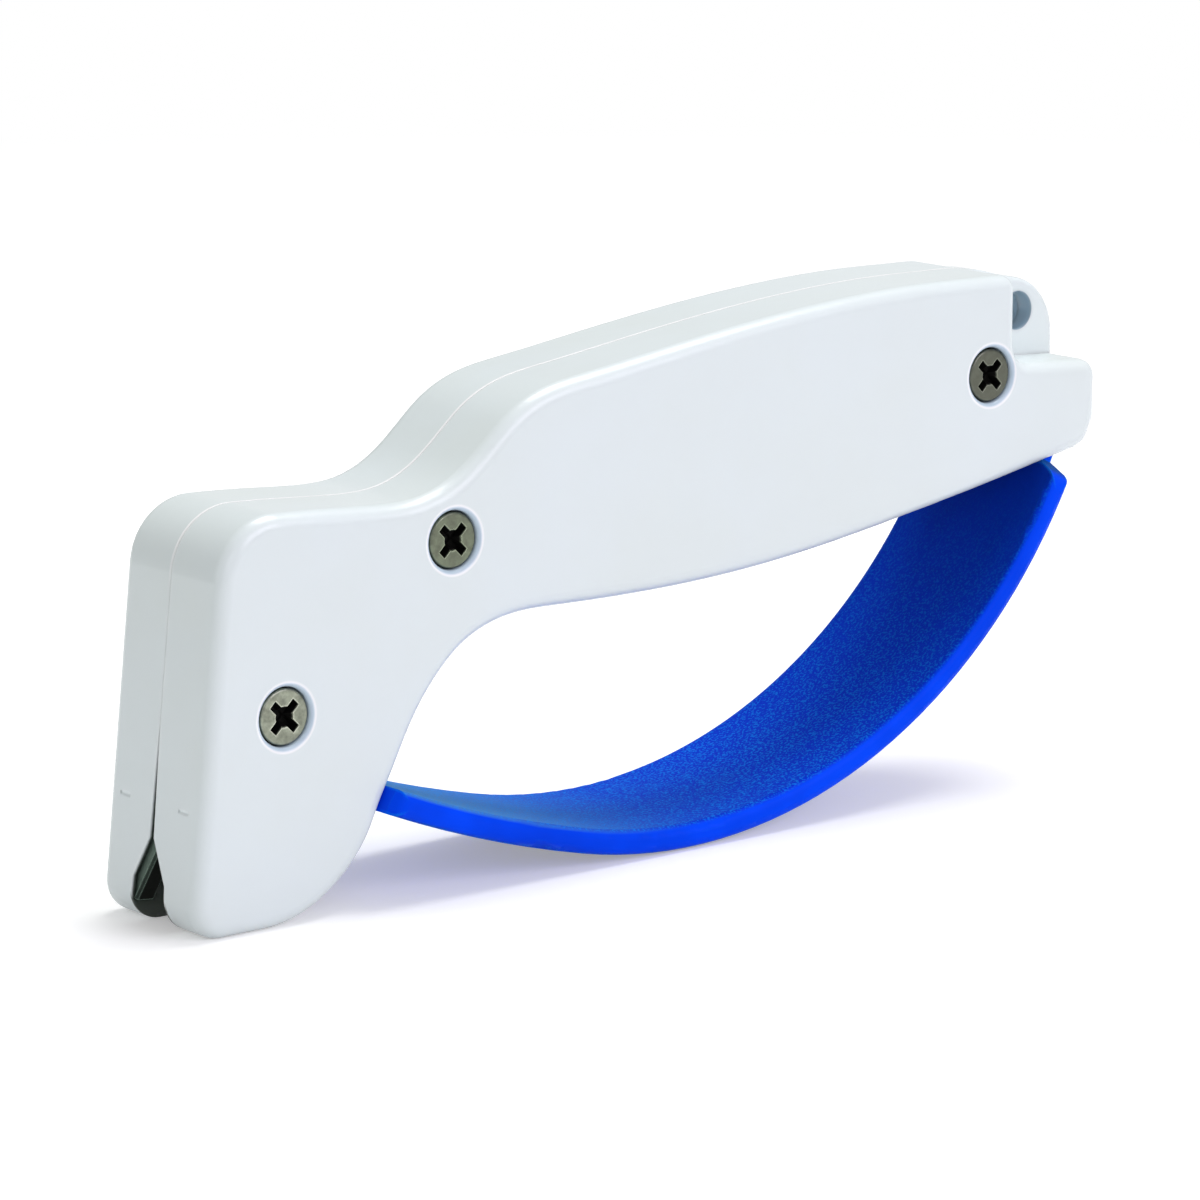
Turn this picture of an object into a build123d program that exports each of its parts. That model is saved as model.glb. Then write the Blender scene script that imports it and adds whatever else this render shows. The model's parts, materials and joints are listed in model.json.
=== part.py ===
from build123d import *
from math import acos, atan2, ceil, cos, degrees, hypot, radians, sin, tan
import os

# A pull-through knife sharpener: two moulded handle halves closed on each other by three
# screws, a wide curved finger guard held by its ends, and two crossed carbide blades in the
# head.  X runs along the handle with the head at -X, Y runs across the two halves, Z is up.
# The sharpener stands on the foot of its head and on the belly of its guard at Z = 0.

# Overall sizes
body_length = 144.2
body_height = 66.8
near_depth = 10.1
far_depth = 9.8
edge_radius = 1.8
overrun = 2.0
quarter_turn = 90.0
half_turn = 180.0

# Head
head_height_share = 0.7395
foot_radius = 4.0
crown_radius = 8.2
front_lean = 6.2
crown_fall = 1.8

# Top line from the crown to the tail, as shares of the body length and body height
top_line_shares = [
    (-0.3537, 0.7328), (-0.3017, 0.7258), (-0.2635, 0.7313), (-0.2323, 0.7575),
    (-0.2032, 0.8046), (-0.1734, 0.8585), (-0.1387, 0.8940), (-0.0902, 0.9135),
    (0.0000, 0.9416), (0.1040, 0.9716), (0.2080, 0.9925), (0.2913, 0.9998),
    (0.3606, 0.9985), (0.4050, 0.9920),
]
top_line_end = 83.0

# Underside from the tail, along the grip and round the neck, down to the foot of the head
underside_shares = [
    (0.3884, 0.601), (0.2725, 0.557), (0.1526, 0.518), (0.0347, 0.496), (-0.0624, 0.492),
    (-0.1250, 0.494), (-0.1664, 0.493), (-0.1956, 0.481), (-0.2254, 0.452), (-0.2497, 0.407),
    (-0.2691, 0.356), (-0.2845, 0.301), (-0.2989, 0.241), (-0.3114, 0.190), (-0.3232, 0.138),
    (-0.3551, 0.059), (-0.3925, 0.014),
]
foot_end_share = -0.4300
underside_slope = 10.2

# Tail: a full-depth block below, and above it a thin hang tab between two notches
tail_bottom_share = 0.6377
tail_bottom_inset = 3.4
tail_bevel_share = 0.6976
tail_heel_share = 0.6497
tail_heel_inset = 1.5
tail_corner_radius = 2.4
tail_bevel_radius = 1.6
tail_heel_radius = 1.9
ledge_share = 0.8114
ledge_rise = 0.7
notch_start = 14.7
notch_top_radius = 1.9
notch_foot_radius = 3.0
tab_depth = 5.0
tab_radius = 8.0
tab_inset = 1.1
tab_drop = 1.8
tab_root = 5.0
tab_edge_radius = 0.8
hang_hole_radius = 2.5
hang_hole_inset = 7.65
hang_hole_rise = 3.5

# Walls, ribs and the hollow inside the halves
shell_wall = 2.4
face_wall = 2.4
head_fill_height = 20.0
head_fill_end = 33.0
tail_fill_inset = 12.0
tail_fill_height = 52.0
rib_thickness = 1.5
rib_depth = 6.2
rib_shares = [-0.10, 0.04, 0.18, 0.30]
spline_step = 3.0
pin_radius = 1.5
pin_length = 2.6
pin_base_radius = 3.2
pin_clearance = 0.08
pin_shares = [(-0.14, 0.70), (0.24, 0.78), (-0.39, 0.60)]

# Screws and the sleeves they screw into, placed by shares of the body length and height
screw_names = ["front", "neck", "tail"]
screw_shares = [(-0.4092, 0.3787), (-0.2368, 0.6467), (0.3672, 0.8084)]
head_radius = 3.42
head_thickness = 2.1
head_round = 0.35
head_sink = 0.4
recess_radius = 3.6
recess_lip = 0.75
shank_radius = 1.7
thread_depth = 0.3
thread_pitch = 1.2
thread_turns = 6
tip_length = 0.6
shank_clearance = 0.15
thread_clearance = 0.06
boss_radius = 4.9
cross_arm = 2.35
cross_width = 1.15
cross_depth = 1.4
pit_radius = 1.3
pit_tip_radius = 0.45
pit_depth = 1.7
cross_taper = 9.0
cross_turn = 45.0
cross_count = 2
sleeve_radius = 2.7
sleeve_length = 6.0
sleeve_sink = 0.3
sleeve_groove = 0.35
sleeve_bands = 3
sleeve_clearance = 0.05
pilot_length = 7.2

# Knife mouth: a tapering slit in the front of the head over a flared channel along its foot
slit_top = 23.7
slit_end_gap = 0.06
throat_height = 10.9
throat_gap = 0.8
flare_height = 5.7
flare_gap = 6.4
mouth_height = 3.0
mouth_gap = 6.8
slit_reach = 5.6

# Tick marks beside the slit
tick_height = 15.1
tick_offset = 6.0
tick_radius = 0.4
tick_length = 2.0
tick_depth = 0.11

# Blades, crossed behind the front wall and parallel to it
blade_length = 15.0
blade_width = 4.5
blade_thickness = 2.8
blade_angle = 29.5
blade_apex = 8.3
blade_foot = 2.7
blade_wall = 0.6
blade_spacing = 0.1
blade_clearance = 0.08
blade_bevel = 0.35

# Finger guard
guard_width = 25.0
guard_thickness = 3.2
guard_low_shares = (0.0055, 0.003)
guard_rear_shares = (0.4640, 0.6347)
guard_front_shares = (-0.3204, 0.1811)
guard_joint_angle = 13.2
guard_edge_radius = 1.2
front_shoulder_length = 1.0
front_shoulder_gap = 0.9
front_shoulder_inset = 2.2
front_corner_radius = 1.5
rear_shoulder_length = 2.0
rear_shoulder_gap = 1.8
rear_shoulder_inset = 5.0
rear_corner_radius = 3.0
tongue_width = 15.0
tongue_lap = 1.0
front_tongue_length = 5.0
rear_tongue_length = 4.6
bead_radius = 2.2
guard_clearance = 0.1

depths = {-1: near_depth, 1: far_depth}
half_tab = tab_depth / 2
blade_stack = [
    ("front_blade", -1, blade_wall),
    ("rear_blade", 1, blade_wall + blade_thickness + blade_spacing),
]
front_x = -body_length / 2
rear_x = body_length / 2
notch_x = rear_x - notch_start
tall = body_height + overrun
lean = radians(front_lean)
front_line_x = front_x + foot_radius * (1 - (1 + sin(lean)) / cos(lean))
foot_centre = (front_x + foot_radius, foot_radius)
head_height = head_height_share * body_height
tail_bottom_height = tail_bottom_share * body_height
tail_bevel_height = tail_bevel_share * body_height
tail_heel_height = tail_heel_share * body_height
ledge_height = ledge_share * body_height
tab_arc_height = body_height - tab_drop - tab_radius


def from_shares(shares):
    return [(share_x * body_length, share_z * body_height) for share_x, share_z in shares]


screw_places = [(x, 0, z) for x, z in from_shares(screw_shares)]
pin_places = [(x, 0, z) for x, z in from_shares(pin_shares)]


def on_circle(centre, radius, angle):
    return (centre[0] + radius * cos(radians(angle)), centre[1] + radius * sin(radians(angle)))


def along(point, heading, distance):
    return on_circle(point, distance, heading)


def slab(sketch, low, high):
    """A side view given a depth, from y = low to y = high."""
    return extrude(Plane.XZ.offset(-low) * sketch, amount=high - low, dir=(0, 1, 0))


def closed(points):
    return make_face(Polyline(*points, close=True))


def body_outline():
    """Side view of the full-depth part of a half, notched above the tail beside the tab."""
    low = on_circle(foot_centre, foot_radius, half_turn - front_lean)
    crown_height = head_height - crown_radius
    crown_x = low[0] + (crown_height - low[1]) * tan(lean) + crown_radius / cos(lean)
    crown = (crown_x, crown_height)
    crown_start = on_circle(crown, crown_radius, half_turn - front_lean)
    crown_end = on_circle(crown, crown_radius, quarter_turn - crown_fall)
    tab_centre = (rear_x - tab_inset - tab_radius, tab_arc_height)
    top_end = on_circle(tab_centre, tab_radius, top_line_end)
    tail_start = (rear_x - tail_bottom_inset, tail_bottom_height)
    foot_end = (foot_end_share * body_length, 0)
    foot_start = (front_x + foot_radius, 0)
    foot_middle = on_circle(foot_centre, foot_radius, half_turn + quarter_turn / 2)
    crown_middle = on_circle(crown, crown_radius, half_turn - quarter_turn / 2)
    edges = Curve() + [
        ThreePointArc(foot_start, foot_middle, low),
        Line(low, crown_start),
        ThreePointArc(crown_start, crown_middle, crown_end),
        Spline(
            [crown_end] + from_shares(top_line_shares) + [top_end],
            tangents=[along((0, 0), -crown_fall, 1), along((0, 0), top_line_end - quarter_turn, 1)],
        ),
        Line(top_end, (rear_x, top_end[1])),
        Line((rear_x, top_end[1]), (rear_x, tail_bevel_height)),
        Line((rear_x, tail_bevel_height), (rear_x - tail_heel_inset, tail_heel_height)),
        Line((rear_x - tail_heel_inset, tail_heel_height), tail_start),
        Spline(
            [tail_start] + from_shares(underside_shares) + [foot_end],
            tangents=[along((0, 0), half_turn + underside_slope, 1), (-1, 0)],
        ),
        Line(foot_end, foot_start),
    ]
    whole = make_face(edges)
    notch = closed([
        (notch_x, ledge_height + ledge_rise),
        (notch_x, tall),
        (rear_x + overrun, tall),
        (rear_x + overrun, ledge_height),
        (rear_x, ledge_height),
    ])
    shape = Sketch() + (whole - notch)
    for place, radius in [
        ((notch_x, top_end[1]), notch_top_radius),
        ((notch_x, ledge_height), notch_foot_radius),
        ((rear_x, ledge_height), tail_corner_radius),
        ((rear_x, tail_bevel_height), tail_bevel_radius),
        ((rear_x - tail_heel_inset, tail_heel_height), tail_heel_radius),
    ]:
        corner = shape.vertices().sort_by_distance((place[0], place[1], 0))[0]
        shape = fillet(corner, radius)
    return whole, shape


def tab_outline(whole):
    """Side view of the hang tab, where the top line runs on into a round end."""
    centre = (rear_x - tab_inset - tab_radius, tab_arc_height)
    low = ledge_height - tab_root
    left = notch_x - tab_root
    right = (centre[0] + tab_radius, centre[1])
    top_end = on_circle(centre, tab_radius, top_line_end)
    edges = Curve() + [
        Polyline((top_end[0], tall), (left, tall), (left, low), (right[0], low), right),
        ThreePointArc(right, on_circle(centre, tab_radius, top_line_end / 2), top_end),
        Line(top_end, (top_end[0], tall)),
    ]
    return Sketch() + (whole & make_face(edges))


whole_outline, outline = body_outline()
tab = tab_outline(whole_outline)


def blade_plane(depth):
    """Plane parallel to the leaning front face, a depth behind it, with its y up the face."""
    origin = (front_line_x + depth / cos(lean), 0, 0)
    return Plane(origin=origin, x_dir=(0, -1, 0), z_dir=(-cos(lean), 0, sin(lean)))


def blade_sketch(side, grown):
    """One blade's broad face, leaning across the middle of the mouth to one side."""
    reach = (blade_apex - blade_foot) * tan(radians(blade_angle))
    start = (reach, blade_foot)
    end = along(start, quarter_turn + blade_angle, blade_length)
    points = [start, end, along(end, blade_angle, blade_width)]
    points += [along(start, blade_angle, blade_width)]
    face = closed([(side * x, y) for x, y in points])
    return offset(face, grown, kind=Kind.INTERSECTION) if grown else face


def blade(side, depth, grown):
    plane = blade_plane(depth - grown)
    solid = extrude(plane * blade_sketch(side, grown), amount=-(blade_thickness + 2 * grown))
    if grown:
        return solid
    long_edges = solid.edges().filter_by(lambda e: abs(e.length - blade_length) < blade_bevel)
    return chamfer(long_edges, blade_bevel)


def mouth_cut():
    """The channel a knife passes through, and the slit above it in the front wall."""
    flare = [(throat_gap, throat_height), (flare_gap, flare_height), (mouth_gap, mouth_height)]
    flare += [(mouth_gap, -overrun)]
    slit = [(throat_gap, throat_height), (slit_end_gap, slit_top)]
    start = Plane.YZ.offset(front_x - overrun)
    cuts = []
    for half_profile, reach in [(flare, body_length / 2), (slit, slit_reach)]:
        right = [(gap / 2, height) for gap, height in half_profile]
        left = [(-gap / 2, height) for gap, height in reversed(half_profile)]
        cuts.append(extrude(start * closed(right + left), amount=reach + overrun))
    return cuts


def tangent_arc(start, heading, end, turn):
    """Centre, radius and end heading of the arc that leaves start on a heading, to an end."""
    chord = (end[0] - start[0], end[1] - start[1])
    forward = along((0, 0), heading, 1)
    inward = along((0, 0), heading + turn, 1)
    ahead = chord[0] * forward[0] + chord[1] * forward[1]
    rise = chord[0] * inward[0] + chord[1] * inward[1]
    radius = (ahead ** 2 + rise ** 2) / (2 * rise)
    swing = 2 * degrees(atan2(rise, ahead)) * (1 if turn > 0 else -1)
    return along(start, heading + turn, radius), radius, heading + swing


def guard_arcs():
    """The guard's outer arcs, to the tail and to the head, each from its start point on."""
    low, rear_end, front_end = from_shares(
        [guard_low_shares, guard_rear_shares, guard_front_shares]
    )
    rear_centre, rear_radius, rear_heading = tangent_arc(low, 0, rear_end, quarter_turn)
    start = -quarter_turn - guard_joint_angle
    joint = on_circle(rear_centre, rear_radius, start)
    front_centre, front_radius, front_heading = tangent_arc(
        joint, start - quarter_turn, front_end, -quarter_turn
    )
    return (
        (rear_centre, rear_radius, start, rear_heading - quarter_turn),
        (front_centre, front_radius, start, front_heading + quarter_turn),
    )


def guard_side():
    """Side view of the curved band, without its tongues."""
    edges = Curve()
    ends = []
    for centre, radius, start, end in guard_arcs():
        inner = radius - guard_thickness
        middle = (start + end) / 2
        for size in [radius, inner]:
            edges += ThreePointArc(
                on_circle(centre, size, start),
                on_circle(centre, size, middle),
                on_circle(centre, size, end),
            )
        ends.append(Line(on_circle(centre, radius, end), on_circle(centre, inner, end)))
    return make_face(edges + ends)


def guard_ends():
    """Each end's outer point, heading, turn to its inner side, gap and tongue length."""
    rear, front = guard_arcs()
    return [
        (on_circle(front[0], front[1], front[3]), front[3] - quarter_turn, -quarter_turn,
         front_shoulder_gap, front_tongue_length),
        (on_circle(rear[0], rear[1], rear[3]), rear[3] + quarter_turn, quarter_turn,
         rear_shoulder_gap, rear_tongue_length),
    ]


def tongue_side(point, heading, turn, gap, length):
    """Side view of one tongue, with the round bead that locks it between the halves."""
    inward = heading + turn
    root = along(point, heading, -gap - tongue_lap)
    tip = along(point, heading, length)
    bead = along(tip, inward, guard_thickness / 2)
    strip = closed([
        root, tip, along(tip, inward, guard_thickness), along(root, inward, guard_thickness)
    ])
    return (Sketch() + strip) + Pos(*bead) * Circle(bead_radius)


def shoulder_cut(side, length, inset, radius, gap):
    """What one shoulder of the band loses: a slanting end that starts in a round corner."""
    half_width = guard_width / 2
    inner = half_width - inset
    slant = hypot(length, inset)
    tangent = radius * tan(acos(length / slant) / 2)
    start = -length - tangent
    meet = (-length + tangent * length / slant, half_width - tangent * inset / slant)
    beyond = gap + overrun
    wide = half_width + overrun
    corner = [(start, half_width), (start, wide), (beyond, wide), (beyond, inner), (0, inner)]
    corner += [meet, (start, half_width - radius)]
    cut = Sketch() + closed([(u, side * v) for u, v in corner])
    return cut - Pos(start, side * (half_width - radius)) * Circle(radius)


def finger_guard():
    half_width = guard_width / 2
    half_tongue = tongue_width / 2
    wide = half_width + overrun
    band = slab(guard_side(), -half_width, half_width)
    side_edges = band.faces().sort_by(Axis.Y)[0].edges() + band.faces().sort_by(Axis.Y)[-1].edges()
    long_edges = side_edges.filter_by(lambda e: e.length > guard_thickness * 2)
    band = fillet(long_edges, guard_edge_radius)
    shoulders = [
        (front_shoulder_length, front_shoulder_inset, front_corner_radius),
        (rear_shoulder_length, rear_shoulder_inset, rear_corner_radius),
    ]
    for (point, heading, turn, gap, length), shoulder in zip(guard_ends(), shoulders):
        root = along(point, heading, -gap)
        along_way = along((0, 0), heading, 1)
        plane = Plane(
            origin=(root[0], 0, root[1]),
            x_dir=(along_way[0], 0, along_way[1]),
            z_dir=(-along_way[1], 0, along_way[0]),
        )
        for side in [-1, 1]:
            cut = shoulder_cut(side, *shoulder, gap)
            band -= extrude(plane * cut, amount=guard_thickness * 2, both=True)
    band -= slab(Pos(guard_clearance, -guard_clearance) * outline, -wide, wide)
    for end in guard_ends():
        band += slab(tongue_side(*end), -half_tongue, half_tongue)
    return band


def screw_recess(place):
    """Stepped hole for one screw in the near half, from its rounded rim to the seam."""
    floor = head_sink + head_thickness
    head_hole = across(place, recess_radius, -near_depth - overrun, floor + overrun)
    shank_hole = across(place, shank_radius + shank_clearance, -near_depth, near_depth)
    rim = (recess_radius + recess_lip, -near_depth + recess_lip)
    rim_start = (recess_radius, rim[1])
    rim_end = (rim[0], -near_depth)
    rim_middle = on_circle(rim, recess_lip, half_turn + quarter_turn / 2)
    rim_profile = make_face(Curve() + [
        ThreePointArc(rim_start, rim_middle, rim_end),
        Polyline(rim_end, (rim[0], -near_depth - overrun), (0, -near_depth - overrun),
                 (0, rim[1]), rim_start),
    ])
    return [head_hole, shank_hole, Pos(*place) * revolve(rim_profile, axis=Axis.Y)]


def across(place, radius, start, length):
    """Cylinder along Y from y = start, at one screw's or pin's place."""
    return Pos(place[0], start, place[2]) * Rot(X=-quarter_turn) * Cylinder(
        radius, length, align=(Align.CENTER, Align.CENTER, Align.MIN)
    )


def drawn_in(shape, amount):
    """A side view drawn in by an amount, its offset curves redrawn as plain splines."""
    edges = []
    for edge in offset(shape, -amount, kind=Kind.INTERSECTION).edges():
        if edge.geom_type in (GeomType.LINE, GeomType.CIRCLE):
            edges.append(edge)
        else:
            steps = ceil(edge.length / spline_step) + 2
            points = [edge @ (index / steps) for index in range(steps + 1)]
            edges.append(Spline(points, tangents=[edge % 0, edge % 1]))
    return make_face(Curve() + edges)


def half_blank(side):
    """One moulded half before its holes: face rounded, hollow inside, with ribs and bosses."""
    def lay(sketch, deep, shallow):
        low, high = sorted([side * deep, side * shallow])
        return slab(sketch, low, high)

    order = 0 if side < 0 else -1
    depth = depths[side]
    block = lay(outline, depth, 0)
    block = fillet(block.faces().sort_by(Axis.Y)[order].edges(), edge_radius)
    ear = lay(tab, half_tab, 0)
    ear = fillet(ear.faces().sort_by(Axis.Y)[order].edges(), tab_edge_radius)
    blank = block + ear
    inner_depth = depth - face_wall
    head_fill = closed([
        (front_x, 0),
        (front_x, head_fill_height),
        (front_x + head_fill_end, head_fill_height),
        (front_x + head_fill_end, 0),
    ])
    tail_fill = closed([
        (rear_x - tail_fill_inset, 0),
        (rear_x - tail_fill_inset, tail_fill_height),
        (rear_x, tail_fill_height),
        (rear_x, 0),
    ])
    hollow_side = (Sketch() + drawn_in(outline, shell_wall)) - head_fill - tail_fill
    for place in screw_places:
        hollow_side -= Pos(place[0], place[2]) * Circle(boss_radius)
    for place in pin_places:
        hollow_side -= Pos(place[0], place[2]) * Circle(pin_base_radius)
    hollow = lay(hollow_side, inner_depth, 0)
    for share in rib_shares:
        rib_low = share * body_length - rib_thickness / 2
        rib = closed([
            (rib_low, 0),
            (rib_low, tall),
            (rib_low + rib_thickness, tall),
            (rib_low + rib_thickness, 0),
        ])
        hollow -= lay(rib, inner_depth, inner_depth - rib_depth)
    return blank - hollow


def pockets():
    """Everything both halves are cut away for: mouth, blades, tongues, hang hole, ticks."""
    cuts = mouth_cut() + [blade(side, depth, blade_clearance) for _, side, depth in blade_stack]
    reach = tongue_width / 2 + guard_clearance
    for end in guard_ends():
        cuts.append(slab(offset(tongue_side(*end), guard_clearance), -reach, reach))
    hang_place = (rear_x - hang_hole_inset, 0, tab_arc_height + hang_hole_rise)
    cuts.append(across(hang_place, hang_hole_radius, -near_depth, near_depth + far_depth))
    for side in [-1, 1]:
        place = Pos(side * tick_offset, tick_height, tick_radius - tick_depth)
        tick = Rot(Y=quarter_turn) * Cylinder(tick_radius, tick_length)
        cuts.append(blade_plane(0) * place * tick)
    return cuts


def near_half():
    half = half_blank(-1)
    for cut in pockets():
        half -= cut
    for place in screw_places:
        for hole in screw_recess(place):
            half -= hole
    for place in pin_places:
        half += across(place, pin_radius, -pin_length, 2 * pin_length)
    return half


def far_half():
    half = half_blank(1)
    for cut in pockets():
        half -= cut
    for place in screw_places:
        half -= across(place, shank_radius + shank_clearance, -overrun, pilot_length + overrun)
        sleeve_room = sleeve_sink + sleeve_length + sleeve_clearance
        half -= across(place, sleeve_radius + sleeve_clearance, -overrun, sleeve_room + overrun)
    for place in pin_places:
        depth = pin_length + pin_clearance
        half -= across(place, pin_radius + pin_clearance, -overrun, depth + overrun)
    return half


def screw(place):
    """Pan-head cross-recess screw, driven from the near face into its sleeve."""
    top = head_sink - near_depth
    seat = top + head_thickness
    core = shank_radius - thread_depth
    thread_end = sleeve_sink + sleeve_length
    thread_start = thread_end - thread_turns * thread_pitch
    points = [
        (head_radius, top + head_round),
        (head_radius, seat),
        (shank_radius, seat),
        (shank_radius, thread_start - thread_pitch / 2),
    ]
    for turn in range(thread_turns):
        points.append((core, thread_start + turn * thread_pitch))
        points.append((shank_radius, thread_start + (turn + 1 / 2) * thread_pitch))
    points += [(core, thread_end), (core - tip_length, thread_end + tip_length)]
    points += [(0, thread_end + tip_length), (0, top)]
    flat = (head_radius - head_round, top)
    rim_middle = on_circle((flat[0], top + head_round), head_round, -quarter_turn / 2)
    edges = Curve() + [
        Line((0, top), flat),
        ThreePointArc(flat, rim_middle, points[0]),
        Polyline(*points),
    ]
    body = revolve(make_face(edges), axis=Axis.Y)
    pit = closed([(0, top), (pit_radius, top), (pit_tip_radius, top + pit_depth), (0, top + pit_depth)])
    body -= revolve(pit, axis=Axis.Y)
    cap_plane = Plane(origin=(0, top, 0), x_dir=(1, 0, 0), z_dir=(0, -1, 0))
    for index in range(cross_count):
        arm = cap_plane * Rot(Z=cross_turn + index * quarter_turn) * Rectangle(2 * cross_arm, cross_width)
        body -= extrude(arm, amount=-cross_depth, taper=cross_taper)
    return Pos(*place) * body


def sleeve(place):
    """Threaded metal sleeve set in the far half, with grooves that grip the moulding."""
    bore = shank_radius + thread_clearance
    band = sleeve_length / (2 * sleeve_bands - 1)
    points = [(bore, sleeve_sink)]
    for index in range(2 * sleeve_bands - 1):
        radius = sleeve_radius - (index % 2) * sleeve_groove
        points.append((radius, sleeve_sink + index * band))
        points.append((radius, sleeve_sink + (index + 1) * band))
    points.append((bore, sleeve_sink + sleeve_length))
    return Pos(*place) * revolve(closed(points), axis=Axis.Y)


nodes = {
    "near_shell": near_half(),
    "far_shell": far_half(),
    "finger_guard": finger_guard(),
}
for name, side, depth in blade_stack:
    nodes[name] = blade(side, depth, 0)
for name, place in zip(screw_names, screw_places):
    nodes[name + "_screw"] = screw(place)
    nodes[name + "_insert"] = sleeve(place)

os.makedirs("parts", exist_ok=True)
for name, shape in nodes.items():
    solids = shape.solids()
    print(name, len(solids), round(sum(solid.volume for solid in solids), 1), shape.is_valid)
    export_step(solids[0] if len(solids) == 1 else Compound(solids), f"parts/{name}.step")
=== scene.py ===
import json
from math import cos, radians, sin

import bpy
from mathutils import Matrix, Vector

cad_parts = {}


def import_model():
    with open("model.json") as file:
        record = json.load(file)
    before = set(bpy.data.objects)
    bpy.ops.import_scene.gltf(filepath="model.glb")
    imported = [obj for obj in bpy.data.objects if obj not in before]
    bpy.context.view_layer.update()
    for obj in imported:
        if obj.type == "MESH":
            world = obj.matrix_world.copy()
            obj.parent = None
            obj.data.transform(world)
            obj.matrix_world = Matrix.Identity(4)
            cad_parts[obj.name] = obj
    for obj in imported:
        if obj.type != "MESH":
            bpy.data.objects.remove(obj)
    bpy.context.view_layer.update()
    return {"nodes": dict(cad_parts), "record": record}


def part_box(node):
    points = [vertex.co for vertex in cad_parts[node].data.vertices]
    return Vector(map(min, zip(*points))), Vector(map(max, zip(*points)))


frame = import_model()
nodes = frame["nodes"]

SCREWS = ("front", "neck", "tail")

# Places and sizes that follow the solids, in metres, and the lean of the front face
HEAD_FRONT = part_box("near_shell")[0][0]
FRONT_LEAN = radians(6.2)
FRONT_TOE = 0.00046
MOUTH_HALF = 0.0036
MOUTH_TOP = 0.0240
TAB_X = 0.0560
TAB_Z = 0.0500
SEAM_WIDTH = 0.00030

# Bands over which masks fade, in metres
SHADE_BEHIND = (0.00005, 0.0003)
SHADE_SIDE = 0.0002
SHADE_TOP = (MOUTH_TOP, MOUTH_TOP + 0.0008)
SHADE_REAR = (-0.0500, -0.0440)
SEAM_SIDE = 0.00016
SEAM_HEIGHT = (0.040, 0.047)
SEAT_DEPTH = (-0.0080, -0.0070)
CROSS_DEPTH = (0.00006, 0.00030)
HEAD_SIDE_DEPTH = (0.00035, 0.00060)
TAB_ROOT_X = (TAB_X, TAB_X + 0.001)
TAB_ROOT_Z = (TAB_Z, TAB_Z + 0.002)
GUARD_TOE = (-0.030, -0.024)
GUARD_REFLECTION_BAND = (-0.034, 0.002)
GUARD_SHADE = (0.020, 0.062)
FLOOR_FADE = (0.22, 0.75)

# Reach of the round masks, in radii of the screw head or the hole that they follow
RIM_REACH = 1.26
SEAT_REACH = 1.19
REACH_SOFT = 0.04
HOLE_WALL = (1.01, 1.05)
CROSS_REACH = (0.80, 0.86)

# Radii of worn edges, which on the guard and the metal also carry painted highlight, and of softened
# edges, and depths of surface marks, in metres
SHELL_WEAR = 0.0009
SHELL_ROUND = 0.00035
TAB_ROUND = 0.0011
GUARD_WEAR_GLINT = 0.0007
GUARD_ROUND = 0.0003
METAL_WEAR_GLINT = 0.00030
METAL_ROUND = 0.00012
RIPPLE_DEPTH = 0.0002
SHELL_GRAIN_DEPTH = 0.00005
GUARD_GRAIN_DEPTH = 0.00012
METAL_MARK_DEPTH = 0.00004

# Noise patterns: scale, detail and roughness
SHELL_CLOUD = (38.0, 3.0, 0.55)
SHELL_SPECK = (900.0, 2.0, 0.6)
SHELL_RUB = (160.0, 3.0, 0.5)
SHELL_GLOSS = (60.0, 3.0, 0.5)
SHELL_RIPPLE = (420.0, 2.0, 0.4)
SHELL_GRAIN = (2600.0, 1.0, 0.5)
SHADE_PATCH = (500.0, 3.0, 0.6)
GUARD_CLOUD = (55.0, 3.0, 0.6)
GUARD_GRAIN = (3000.0, 2.0, 0.6)
GUARD_RUB = (220.0, 3.0, 0.5)
GUARD_RIPPLE = (300.0, 2.0, 0.5)
METAL_BLOTCH = (1100.0, 3.0, 0.6)
METAL_MARK = (900.0, 3.0, 0.6)
FLOOR_CLOUD = (3.0, 3.0, 0.5)

# Squeeze along X, Y and Z that turns noise into machining marks
GROUND = (1.0, 8.0, 1.0)
TURNED = (1.0, 1.0, 6.0)
DRAWN = (6.0, 1.0, 1.0)

# Colours, linear, and how much brighter worn metal edges are, as wear and painted highlight
SHELL = (0.738, 0.806, 0.816)
SHELL_WARM = (0.728, 0.792, 0.784)
SHELL_WORN = (0.860, 0.895, 0.900)
# Painted highlight colour, for the seam line and the rims of the screw recesses
SHELL_HIGHLIGHT = (0.970, 0.980, 0.980)
HOLE_SHADE = (0.330, 0.450, 0.540)
# Painted shade in the knife mouth and slit
MOUTH_SHADE = (0.044, 0.060, 0.046)
# Painted shade on the walls of the screw recesses
SEAT_SHADE = (0.540, 0.660, 0.760)
GUARD = (0.0001, 0.068, 0.980)
GUARD_DEEP = (0.0001, 0.048, 0.760)
GUARD_REAR_SHADE = (0.0001, 0.022, 0.300)
GUARD_PALE = (0.005, 0.250, 0.900)
GUARD_BROAD = (0.0001, 0.032, 0.660)
# Painted reflection colour on the guard's front
GUARD_REFLECTION = (0.090, 0.340, 0.520)
GUARD_SHEEN = (0.10, 0.95, 0.85, 1.0)
NICKEL = (0.320, 0.345, 0.270)
# Painted shade: the same nickel, darker for the neck and tail screws
NICKEL_SHADED = (0.180, 0.205, 0.145)
NICKEL_MORE_SHADED = (0.130, 0.138, 0.110)
NICKEL_DARK = (0.100, 0.104, 0.080)
HOLLOW_SHADE = (0.012, 0.012, 0.011)
CARBIDE = (0.110, 0.150, 0.125)
CARBIDE_DARK = (0.080, 0.112, 0.094)
CARBIDE_SHADE = (0.006, 0.008, 0.006)
BRASS = (0.640, 0.430, 0.160)
BRASS_DARK = (0.300, 0.180, 0.060)
METAL_WORN_GLINT = 3.0
FLOOR_LOW = (0.82, 0.82, 0.82)
FLOOR_HIGH = (0.84, 0.84, 0.84)
WHITE = (1.0, 1.0, 1.0, 1.0)

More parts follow.
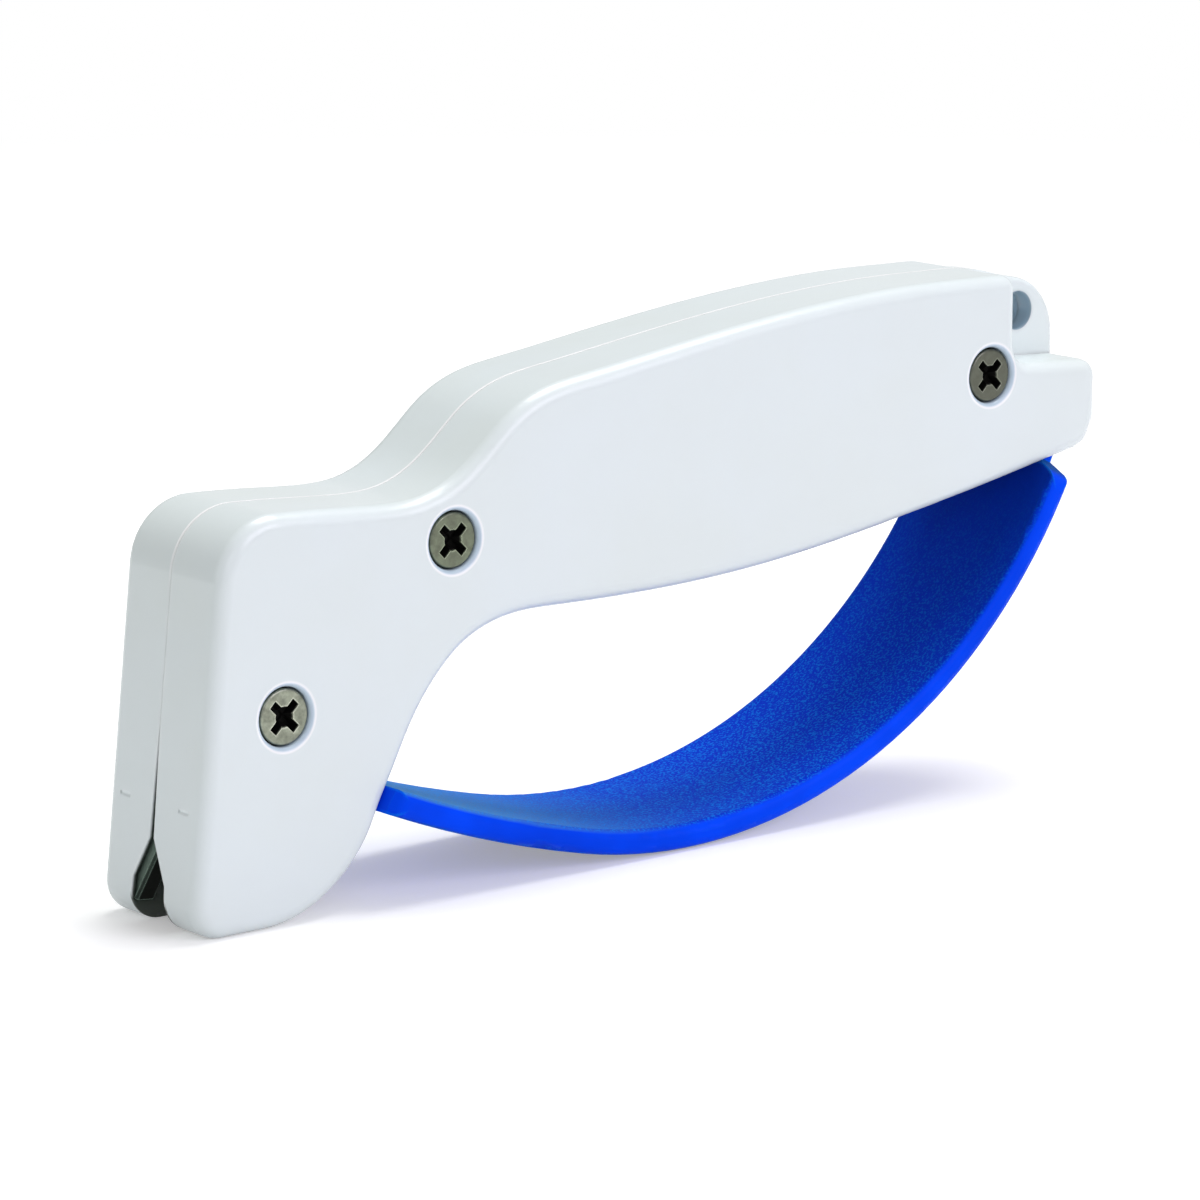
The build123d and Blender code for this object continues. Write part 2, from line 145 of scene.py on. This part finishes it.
# Light: the surround's strength, the floor's reach and glow, and the lamps
SURROUND = 0.40
FLOOR_REACH = 6.0
FLOOR_GLOW = 0.32
LAMP_TARGET = (0.0, 0.0, 0.03)
LAMPS = (
    ("key", (0.35, -1.1, 0.60), (0.8, 0.6), 5.5, (1.02, 0.955, 1.11)),
    ("front", (-0.80, -0.95, 0.50), (0.5, 0.5), 1.2, (1.0, 0.965, 1.05)),
    ("top", (0.40, 0.1, 1.3), (0.9, 0.6), 12.0, (0.99, 1.0, 0.99)),
    ("back", (0.75, 0.95, 0.24), (0.7, 0.3), 0.16, (1.0, 1.0, 1.0)),
    ("fill", (-1.2, 0.3, 0.5), (0.6, 0.6), 1.2, (0.94, 1.0, 0.98)),
)

# Camera, fitted to the object's outline: millimetres, metres and degrees
LENS = 156.0208
SENSOR = 36.0
NEAREST = 0.01
CAMERA_PLACE = (-0.4025694539, -0.4910390027, 0.1628723335)
CAMERA_TILT = 11.830196996
CAMERA_TURN = -39.0799715747


class Graph:
    """A material's node tree with short ways to add nodes and join them."""

    def __init__(self, name):
        self.material = bpy.data.materials.new(name)
        self.material.use_nodes = True
        self.tree = self.material.node_tree
        self.tree.nodes.clear()
        self.output = self.tree.nodes.new("ShaderNodeOutputMaterial")

    def add(self, kind, **settings):
        node = self.tree.nodes.new(kind)
        for key, value in settings.items():
            setattr(node, key, value)
        return node

    def join(self, start, end):
        self.tree.links.new(start, end)

    def feed(self, socket, value):
        """Join a socket to another one, or set it to a plain value."""
        if hasattr(value, "is_output"):
            self.join(value, socket)
        else:
            socket.default_value = value

    def place(self):
        return self.add("ShaderNodeTexCoord").outputs["Object"]

    def noise(self, scale, detail, rough, vector=None):
        node = self.add("ShaderNodeTexNoise")
        self.join(vector or self.place(), node.inputs["Vector"])
        node.inputs["Scale"].default_value = scale
        node.inputs["Detail"].default_value = detail
        node.inputs["Roughness"].default_value = rough
        return node.outputs["Fac"]

    def stretch(self, scale):
        node = self.add("ShaderNodeMapping")
        self.join(self.place(), node.inputs["Vector"])
        node.inputs["Scale"].default_value = scale
        return node.outputs["Vector"]

    def ramp(self, value, low, high, to_low=0.0, to_high=1.0):
        """A straight ramp from to_low at low to to_high at high, level outside them."""
        node = self.add("ShaderNodeMapRange", clamp=True)
        self.join(value, node.inputs["Value"])
        node.inputs["From Min"].default_value = low
        node.inputs["From Max"].default_value = high
        node.inputs["To Min"].default_value = to_low
        node.inputs["To Max"].default_value = to_high
        return node.outputs["Result"]

    def math(self, kind, a, b=0.0, c=0.0):
        node = self.add("ShaderNodeMath", operation=kind)
        for socket, value in zip(node.inputs, (a, b, c)):
            self.feed(socket, value)
        return node.outputs["Value"]

    def both(self, first, *others):
        """The product of masks: one only where all of them are."""
        for other in others:
            first = self.math("MULTIPLY", first, other)
        return first

    def mix(self, factor, a, b):
        node = self.add("ShaderNodeMix", data_type="RGBA")
        self.feed(node.inputs["Factor"], factor)
        for socket, value in ((node.inputs[6], a), (node.inputs[7], b)):
            self.feed(socket, (*value, 1.0) if isinstance(value, tuple) else value)
        return node.outputs[2]

    def axis(self, vector, name):
        node = self.add("ShaderNodeSeparateXYZ")
        self.join(vector, node.inputs["Vector"])
        return node.outputs[name]

    def along(self, name):
        return self.axis(self.place(), name)

    def normal(self, name):
        return self.axis(self.add("ShaderNodeNewGeometry").outputs["Normal"], name)

    def edge(self, radius, low, high):
        """One near sharp edges, nought on flat ground."""
        bevel = self.add("ShaderNodeBevel", samples=4)
        bevel.inputs["Radius"].default_value = radius
        dot = self.add("ShaderNodeVectorMath", operation="DOT_PRODUCT")
        self.join(bevel.outputs["Normal"], dot.inputs[0])
        self.join(self.add("ShaderNodeNewGeometry").outputs["Normal"], dot.inputs[1])
        return self.ramp(dot.outputs["Value"], high, low)

    def bump(self, height, strength, distance, normal):
        node = self.add("ShaderNodeBump")
        self.join(height, node.inputs["Height"])
        node.inputs["Strength"].default_value = strength
        node.inputs["Distance"].default_value = distance
        self.join(normal, node.inputs["Normal"])
        return node.outputs["Normal"]

    def rounded(self, radius):
        """A normal that softens sharp edges."""
        bevel = self.add("ShaderNodeBevel", samples=6)
        self.feed(bevel.inputs["Radius"], radius)
        return bevel.outputs["Normal"]

    def inside(self, value, low, high, soft):
        """One between low and high, fading to nought over a soft band outside them."""
        rise = self.ramp(value, low - soft, low)
        fall = self.ramp(value, high, high + soft, 1.0, 0.0)
        return self.math("MULTIPLY", rise, fall)

    def surface(self, colour, roughness, normal, **fixed):
        shader = self.add("ShaderNodeBsdfPrincipled")
        self.join(colour, shader.inputs["Base Color"])
        self.join(roughness, shader.inputs["Roughness"])
        self.join(normal, shader.inputs["Normal"])
        for key, value in fixed.items():
            shader.inputs[key.replace("_", " ")].default_value = value
        self.join(shader.outputs["BSDF"], self.output.inputs["Surface"])
        return self.material


def from_axis(g, x, z):
    """Distance from a line that runs across the sharpener at one side-view place."""
    flat = g.add("ShaderNodeVectorMath", operation="MULTIPLY")
    g.join(g.place(), flat.inputs[0])
    flat.inputs[1].default_value = (1.0, 0.0, 1.0)
    away = g.add("ShaderNodeVectorMath", operation="DISTANCE")
    g.join(flat.outputs["Vector"], away.inputs[0])
    away.inputs[1].default_value = (x, 0.0, z)
    return away.outputs["Value"]


def from_screw(g, node):
    """Distance from a screw's axis, and the radius of its head."""
    low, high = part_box(node)
    return from_axis(g, (low[0] + high[0]) / 2, (low[2] + high[2]) / 2), (high[0] - low[0]) / 2


def mouth_shade(g):
    """Painted shade: one on the walls of the knife mouth and slit, behind the leaning front face."""
    x, y, z = (g.along(name) for name in "XYZ")
    lean = g.math("MULTIPLY", z, -sin(FRONT_LEAN))
    depth = g.math("MULTIPLY_ADD", x, cos(FRONT_LEAN), lean)
    start = (HEAD_FRONT - FRONT_TOE) * cos(FRONT_LEAN)
    behind = g.ramp(depth, start + SHADE_BEHIND[0], start + SHADE_BEHIND[1])
    middle = g.inside(y, -MOUTH_HALF, MOUTH_HALF, SHADE_SIDE)
    low = g.ramp(z, *SHADE_TOP, 1.0, 0.0)
    ahead = g.ramp(x, *SHADE_REAR, 1.0, 0.0)
    return g.math("MULTIPLY", g.both(behind, middle), g.both(low, ahead))


def seam_highlight(g):
    """Painted highlight: one on the upper part of the line where the two halves meet."""
    line = g.inside(g.along("Y"), 0.0, SEAM_WIDTH, SEAM_SIDE)
    return g.both(line, g.ramp(g.along("Z"), *SEAM_HEIGHT))


def screw_seats(g, reach):
    """One inside a number of head radii from the three screws, near the near face."""
    near = g.ramp(g.along("Y"), *SEAT_DEPTH, 1.0, 0.0)
    seats = 0.0
    for name in SCREWS:
        away, radius = from_screw(g, name + "_screw")
        edge = g.ramp(away, radius * (reach - REACH_SOFT), radius * (reach + REACH_SOFT), 1.0, 0.0)
        seats = g.math("MAXIMUM", seats, edge)
    return g.both(seats, near)


def hang_hole(g):
    """One on the wall of the hole in the hang tab."""
    mount = [m for m in frame["record"]["mounts"] if m["name"] == "hang_hole"][0]
    x, _, z = mount["pos_m"]
    radius = mount["dims"]["r_mm"] / 1000
    return g.ramp(from_axis(g, x, z), radius * HOLE_WALL[0], radius * HOLE_WALL[1], 1.0, 0.0)


def shell_material():
    """Glossy white moulded plastic: faint cloudiness, soft mould texture, rubbed edges, with painted
    highlight on the seam and the screw-recess rims, and painted shade in the screw recesses, the hang
    hole and the knife mouth.
    """
    g = Graph("shell_plastic")
    cloud = g.ramp(g.noise(*SHELL_CLOUD), 0.35, 0.65)
    colour = g.mix(cloud, SHELL_WARM, SHELL)
    speck = g.ramp(g.noise(*SHELL_SPECK), 0.66, 0.76, 0.0, 0.25)
    colour = g.mix(speck, colour, SHELL_WARM)
    rub = g.ramp(g.noise(*SHELL_RUB), 0.4, 0.65, 0.2, 0.8)
    colour = g.mix(g.both(g.edge(SHELL_WEAR, 0.80, 0.98), rub), colour, SHELL_WORN)
    # Painted highlight: a thin bright line along the upper part of the seam
    colour = g.mix(seam_highlight(g), colour, SHELL_HIGHLIGHT)
    # Painted highlight: a white ring on the rims of the screw recesses
    colour = g.mix(screw_seats(g, RIM_REACH), colour, SHELL_HIGHLIGHT)
    # Painted shade: a darker bluish tone on the walls of the screw recesses
    colour = g.mix(screw_seats(g, SEAT_REACH), colour, SEAT_SHADE)
    colour = g.mix(hang_hole(g), colour, HOLE_SHADE)
    # Painted shade, a little patchy, on the walls of the knife mouth and slit
    patch = g.ramp(g.noise(*SHADE_PATCH), 0.25, 0.55, 0.90, 1.0)
    colour = g.mix(g.both(mouth_shade(g), patch), colour, MOUTH_SHADE)
    roughness = g.ramp(g.noise(*SHELL_GLOSS), 0.3, 0.7, 0.20, 0.27)
    root = g.both(g.ramp(g.along("X"), *TAB_ROOT_X), g.ramp(g.along("Z"), *TAB_ROOT_Z))
    normal = g.rounded(g.ramp(root, 0.0, 1.0, SHELL_ROUND, TAB_ROUND))
    normal = g.bump(g.noise(*SHELL_RIPPLE), 0.05, RIPPLE_DEPTH, normal)
    normal = g.bump(g.noise(*SHELL_GRAIN), 0.04, SHELL_GRAIN_DEPTH, normal)
    return g.surface(colour, roughness, normal, IOR=1.49)


def broad_faces(g):
    """One on the guard's broad faces, nought on its long edges and its front corners."""
    wide = g.ramp(g.math("ABSOLUTE", g.normal("Y")), 0.75, 0.35)
    level = g.ramp(g.math("ABSOLUTE", g.normal("Z")), 0.50, 0.75)
    level = g.math("MAXIMUM", level, g.ramp(g.along("X"), *GUARD_TOE))
    return g.both(wide, level)


def guard_material():
    """Blue moulded plastic: glossy edges, and a fine matte grain on the broad faces, with painted
    reflection towards the front, painted shade towards the rear, and pale edges that are partly
    painted highlight.
    """
    g = Graph("guard_plastic")
    broad = broad_faces(g)
    cloud = g.ramp(g.noise(*GUARD_CLOUD), 0.35, 0.65)
    colour = g.mix(cloud, GUARD_DEEP, GUARD)
    colour = g.mix(broad, colour, GUARD_BROAD)
    # Painted reflection: pale greenish on upward-facing faces towards the front
    upward = g.ramp(g.normal("Z"), 0.55, 0.80)
    reflection = g.both(upward, g.ramp(g.along("X"), *GUARD_REFLECTION_BAND, 0.48, 0.0))
    colour = g.mix(reflection, colour, GUARD_REFLECTION)
    grain = g.noise(*GUARD_GRAIN)
    pale = g.both(broad, g.ramp(grain, 0.50, 0.60, 0.0, 0.70))
    colour = g.mix(pale, colour, GUARD_PALE)
    # Painted shade: broad faces darker towards the rear
    shade = g.both(broad, g.ramp(g.along("X"), *GUARD_SHADE))
    colour = g.mix(shade, colour, GUARD_REAR_SHADE)
    # Pale edge lines, partly wear and partly painted highlight
    rub = g.ramp(g.noise(*GUARD_RUB), 0.42, 0.65, 0.3, 0.9)
    colour = g.mix(g.both(g.edge(GUARD_WEAR_GLINT, 0.80, 0.97), rub), colour, GUARD_PALE)
    matte = g.ramp(broad, 0.0, 1.0, 0.30, 0.50)
    roughness = g.math("ADD", matte, g.ramp(grain, 0.3, 0.7, 0.0, 0.1))
    normal = g.bump(g.both(broad, grain), 0.35, GUARD_GRAIN_DEPTH, g.rounded(GUARD_ROUND))
    normal = g.bump(g.noise(*GUARD_RIPPLE), 0.06, RIPPLE_DEPTH, normal)
    return g.surface(
        colour, roughness, normal, IOR=1.49, Specular_IOR_Level=0.03,
        Sheen_Weight=0.22, Sheen_Roughness=0.30, Sheen_Tint=GUARD_SHEEN,
    )


def screw_hollow_shade(g, node):
    """Painted shade: one in a screw's cross and down its side, nought on its flat top and round rim.
    """
    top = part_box(node)[0][1]
    away, radius = from_screw(g, node)
    y = g.along("Y")
    deep = g.ramp(y, top + CROSS_DEPTH[0], top + CROSS_DEPTH[1])
    middle = g.ramp(away, radius * CROSS_REACH[0], radius * CROSS_REACH[1], 1.0, 0.0)
    side = g.ramp(y, top + HEAD_SIDE_DEPTH[0], top + HEAD_SIDE_DEPTH[1])
    return g.math("MAXIMUM", g.both(deep, middle), side)


def metal_material(name, bright, dark, rough, marks, screw=None, edge=None):
    """Metal with fine machining marks, worn edges that also carry painted highlight, painted shade in
    the hollows, and, when that colour is given, painted shade on every face that doesn't face the
    front.
    """
    g = Graph(name)
    blotch = g.ramp(g.noise(*METAL_BLOTCH), 0.35, 0.7, 0.0, 0.6)
    colour = g.mix(blotch, bright, dark)
    # Painted shade: near black on every face that doesn't face the front
    if edge:
        colour = g.mix(g.ramp(g.normal("X"), -0.9, -0.7), colour, edge)
    # Bright worn edges, partly wear and partly painted highlight
    worn_glint = g.math("MULTIPLY", g.edge(METAL_WEAR_GLINT, 0.80, 0.97), 0.9)
    colour = g.mix(worn_glint, colour, tuple(min(1.0, c * METAL_WORN_GLINT) for c in bright))
    mark = g.noise(*METAL_MARK, vector=g.stretch(marks))
    roughness = g.ramp(blotch, 0.0, 1.0, rough, rough + 0.14)
    roughness = g.math("ADD", roughness, g.ramp(mark, 0.3, 0.7, 0.0, 0.1))
    if screw:
        # Painted shade: near black in the screw's cross and down the side of its head
        hollow = screw_hollow_shade(g, screw)
        colour = g.mix(hollow, colour, HOLLOW_SHADE)
        roughness = g.math("ADD", roughness, g.ramp(hollow, 0.0, 1.0, 0.0, 0.4))
    normal = g.bump(mark, 0.25, METAL_MARK_DEPTH, g.rounded(METAL_ROUND))
    return g.surface(colour, roughness, normal, Metallic=1.0)


def dress(node, material):
    """Give one node its only material."""
    mesh = nodes[node].data
    mesh.materials.clear()
    mesh.materials.append(material)


def dress_all():
    """Materials on every piece."""
    shell = shell_material()
    guard = guard_material()
    carbide = metal_material("carbide", CARBIDE, CARBIDE_DARK, 0.42, GROUND, edge=CARBIDE_SHADE)
    brass = metal_material("insert_brass", BRASS, BRASS_DARK, 0.30, DRAWN)
    for name in ("near_shell", "far_shell"):
        dress(name, shell)
    dress("finger_guard", guard)
    for name in ("front_blade", "rear_blade"):
        dress(name, carbide)
    # Painted shade: the neck and tail screws get darker copies of the front screw's nickel
    for name, nickel_shading in zip(SCREWS, (NICKEL, NICKEL_SHADED, NICKEL_MORE_SHADED)):
        screw = name + "_screw"
        dress(screw, metal_material(screw, nickel_shading, NICKEL_DARK, 0.26, TURNED, screw))
        dress(name + "_insert", brass)


def floor_material():
    """Matte white that glows to the camera, and turns to plain white far out."""
    g = Graph("floor_white")
    base = g.mix(g.ramp(g.noise(*FLOOR_CLOUD), 0.3, 0.7), FLOOR_LOW, FLOOR_HIGH)
    matte = g.add("ShaderNodeBsdfDiffuse")
    g.join(base, matte.inputs["Color"])
    path = g.add("ShaderNodeLightPath")
    seen = g.math("MAXIMUM", path.outputs["Is Camera Ray"], path.outputs["Is Glossy Ray"])
    seen = g.math("MAXIMUM", seen, path.outputs["Is Transmission Ray"])
    glow = g.add("ShaderNodeEmission")
    g.join(g.math("MULTIPLY", seen, FLOOR_GLOW), glow.inputs["Strength"])
    near = g.add("ShaderNodeAddShader")
    g.join(matte.outputs[0], near.inputs[0])
    g.join(glow.outputs[0], near.inputs[1])
    white = g.add("ShaderNodeEmission")
    g.join(seen, white.inputs["Strength"])
    away = g.add("ShaderNodeVectorMath", operation="LENGTH")
    g.join(g.place(), away.inputs[0])
    far = g.both(g.ramp(away.outputs["Value"], *FLOOR_FADE), seen)
    blend = g.add("ShaderNodeMixShader")
    g.join(far, blend.inputs[0])
    g.join(near.outputs[0], blend.inputs[1])
    g.join(white.outputs[0], blend.inputs[2])
    g.join(blend.outputs[0], g.output.inputs["Surface"])
    return g.material


def floor():
    """Wide pale floor, white to the camera but for the object's own shadow."""
    mesh = bpy.data.meshes.new("floor")
    corners = [(-1, -1), (1, -1), (1, 1), (-1, 1)]
    mesh.from_pydata([(x * FLOOR_REACH, y * FLOOR_REACH, 0.0) for x, y in corners], [], [(0, 1, 2, 3)])
    mesh.materials.append(floor_material())
    thing = bpy.data.objects.new("floor", mesh)
    bpy.context.scene.collection.objects.link(thing)


def world():
    """Even pale surround: white to the camera, softer as a light."""
    sky = bpy.data.worlds.new("world")
    bpy.context.scene.world = sky
    sky.use_nodes = True
    tree = sky.node_tree
    tree.nodes.clear()
    path = tree.nodes.new("ShaderNodeLightPath")
    seen = tree.nodes.new("ShaderNodeMath")
    seen.operation = "MAXIMUM"
    tree.links.new(path.outputs["Is Camera Ray"], seen.inputs[0])
    tree.links.new(path.outputs["Is Transmission Ray"], seen.inputs[1])
    level = tree.nodes.new("ShaderNodeMapRange")
    tree.links.new(seen.outputs[0], level.inputs["Value"])
    level.inputs["To Min"].default_value = SURROUND
    level.inputs["To Max"].default_value = 1.0
    back = tree.nodes.new("ShaderNodeBackground")
    back.inputs["Color"].default_value = WHITE
    tree.links.new(level.outputs["Result"], back.inputs["Strength"])
    out = tree.nodes.new("ShaderNodeOutputWorld")
    tree.links.new(back.outputs[0], out.inputs["Surface"])


def lamp(name, place, size, power, colour):
    """One rectangular lamp that points at the middle of the object."""
    light = bpy.data.lights.new(name, "AREA")
    light.shape = "RECTANGLE"
    light.size, light.size_y = size
    light.energy = power
    light.color = colour
    thing = bpy.data.objects.new(name, light)
    bpy.context.scene.collection.objects.link(thing)
    thing.location = place
    aim = Vector(LAMP_TARGET) - Vector(place)
    thing.rotation_euler = aim.to_track_quat("-Z", "Y").to_euler()


def camera():
    """The main view, from the near side and a little above."""
    lens = bpy.data.cameras.new("camera")
    lens.lens = LENS
    lens.sensor_width = SENSOR
    lens.sensor_fit = "HORIZONTAL"
    lens.clip_start = NEAREST
    thing = bpy.data.objects.new("camera", lens)
    bpy.context.scene.collection.objects.link(thing)
    thing.location = CAMERA_PLACE
    thing.rotation_euler = (radians(90.0 - CAMERA_TILT), 0.0, radians(CAMERA_TURN))
    bpy.context.scene.camera = thing


dress_all()
floor()
world()
for settings in LAMPS:
    lamp(*settings)
camera()
bpy.context.scene.view_settings.view_transform = "Standard"
